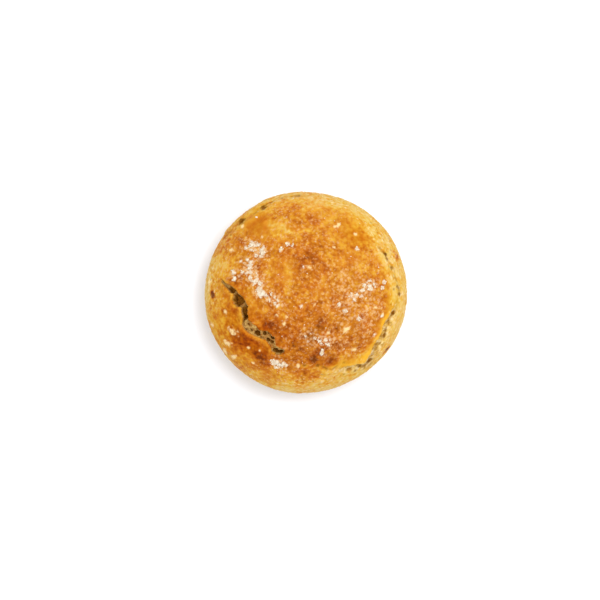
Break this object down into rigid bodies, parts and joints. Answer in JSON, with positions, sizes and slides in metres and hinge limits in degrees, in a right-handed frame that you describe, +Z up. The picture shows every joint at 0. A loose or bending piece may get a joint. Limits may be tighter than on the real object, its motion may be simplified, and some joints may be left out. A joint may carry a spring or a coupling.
{
  "type": "bread roll",
  "caption": "Round hearth-baked spelt roll with a domed crust, a ragged split on one shoulder, a torn ledge at the edge of the crust and a flat base to stand on.",
  "frame": {"origin": "middle of the roll's box at the flat base", "axes": "+Z up through the dome; +X to the right and +Y to the top of a picture taken from straight above, with the split on the left and the torn ledge on the lower right"},
  "size_m": [0.0954, 0.0946, 0.0506],
  "materials": {
    "crust": "matte baked crust, golden to red-brown",
    "crumb": "matte porous crumb",
    "flour": "matte dry flour dust"
  },
  "bodies": {
    "root": {"roll": "crust"}
  },
  "joints": []
}
